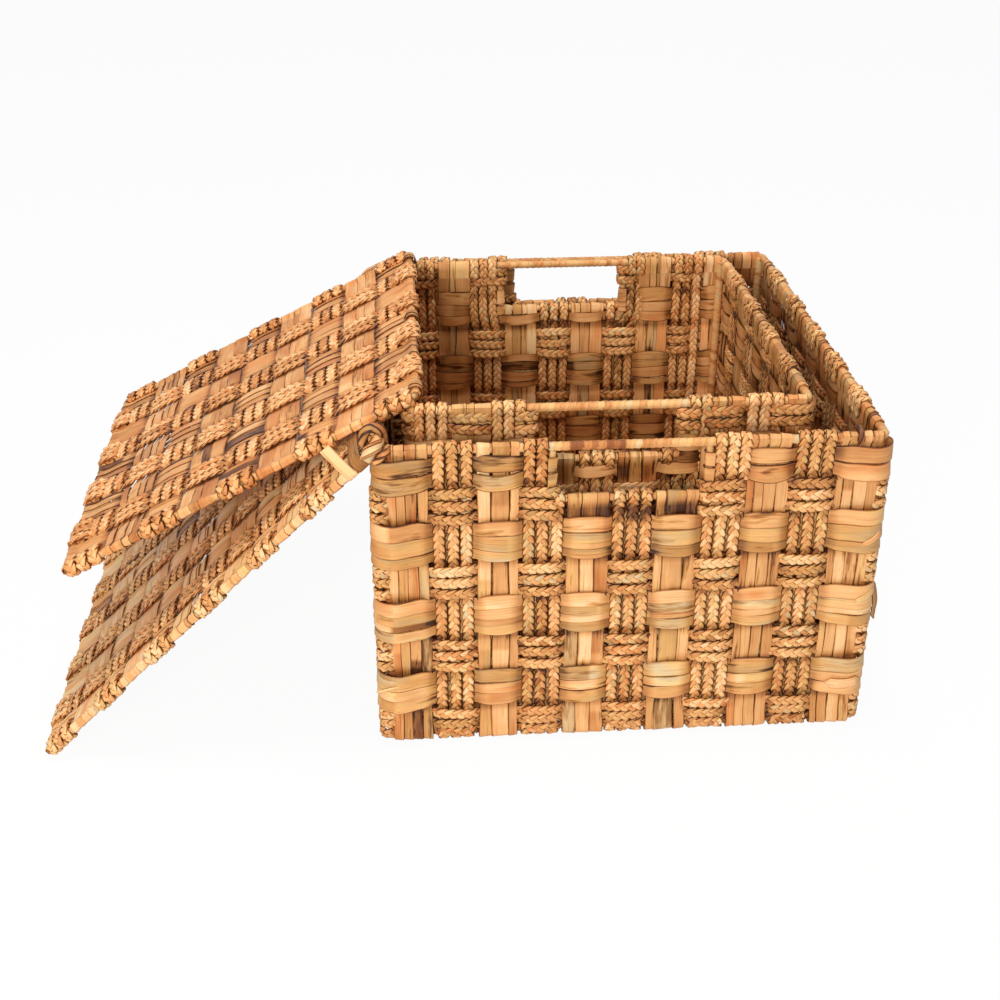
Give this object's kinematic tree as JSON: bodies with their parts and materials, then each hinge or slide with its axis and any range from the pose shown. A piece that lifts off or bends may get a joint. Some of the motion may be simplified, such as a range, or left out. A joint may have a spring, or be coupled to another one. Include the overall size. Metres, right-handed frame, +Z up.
{
  "type": "nested pair of woven lidded boxes",
  "caption": "Nested pair of woven leaf storage boxes, each with an open hinged lid and hand slots in its front and back walls.",
  "frame": {"origin": "centre of the large box's base, on the surface it stands on", "axes": "+Z up out of the boxes' mouths, +X to the right away from the hinges, +Y to the back; the lids lie open towards -X"},
  "size_m": [0.7347, 0.4713, 0.3249],
  "materials": {
    "leaf_weave": "dry golden tan leaf bands and plaits, satin, streaked brown",
    "leaf_wrap": "leaf strip wound tightly round a wire",
    "pale_leaf": "pale dry leaf strip",
    "steel_wire": "dull drawn wire"
  },
  "bodies": {
    "large_box": {"large_box_rim_wire": "leaf_wrap", "large_box_base_wire": "leaf_wrap", "large_box_base_weave": "leaf_weave", "large_box_corner_post_front_left": "leaf_wrap", "large_box_corner_post_front_right": "leaf_wrap", "large_box_corner_post_back_right": "leaf_wrap", "large_box_corner_post_back_left": "leaf_wrap", "large_box_front_wall_weave": "leaf_weave", "large_box_back_wall_weave": "leaf_weave", "large_box_right_wall_weave": "leaf_weave", "large_box_left_wall_weave": "leaf_weave", "large_box_front_handle_wire": "leaf_wrap", "large_box_back_handle_wire": "leaf_wrap", "large_box_hinge_tie_front": "pale_leaf", "large_box_hinge_tie_middle": "pale_leaf", "large_box_hinge_tie_back": "pale_leaf"},
    "large_lid": {"large_lid_edge_wire": "leaf_wrap", "large_lid_weave": "leaf_weave", "large_lid_cross_wire_1": "steel_wire", "large_lid_cross_wire_2": "steel_wire", "large_lid_edge_strip": "pale_leaf"},
    "small_box": {"small_box_rim_wire": "leaf_wrap", "small_box_base_wire": "leaf_wrap", "small_box_base_weave": "leaf_weave", "small_box_corner_post_front_left": "leaf_wrap", "small_box_corner_post_front_right": "leaf_wrap", "small_box_corner_post_back_right": "leaf_wrap", "small_box_corner_post_back_left": "leaf_wrap", "small_box_front_wall_weave": "leaf_weave", "small_box_back_wall_weave": "leaf_weave", "small_box_right_wall_weave": "leaf_weave", "small_box_left_wall_weave": "leaf_weave", "small_box_front_handle_wire": "leaf_wrap", "small_box_back_handle_wire": "leaf_wrap", "small_box_hinge_tie_front": "pale_leaf", "small_box_hinge_tie_middle": "pale_leaf", "small_box_hinge_tie_back": "pale_leaf"},
    "small_lid": {"small_lid_edge_wire": "leaf_wrap", "small_lid_weave": "leaf_weave", "small_lid_cross_wire_1": "steel_wire", "small_lid_cross_wire_2": "steel_wire"}
  },
  "joints": [
    {"name": "large_lid_hinge", "type": "hinge", "parent": "large_box", "child": "large_lid", "pos_m": [-0.22096, 0, 0.31234], "axis": [0, 1, 0], "range_deg": [0, 223.8]},
    {"name": "small_box_lift", "type": "slide", "parent": "large_box", "child": "small_box", "axis": [0, 0, 1], "range_m": [0, 0.35]},
    {"name": "small_lid_hinge", "type": "hinge", "parent": "small_box", "child": "small_lid", "pos_m": [-0.17916, 0, 0.3202], "axis": [0, 1, 0], "range_deg": [0, 207.08]}
  ],
  "couplings": [
    {"joint": "small_lid_hinge", "follows": "large_lid_hinge", "ratio": 0.92517}
  ]
}
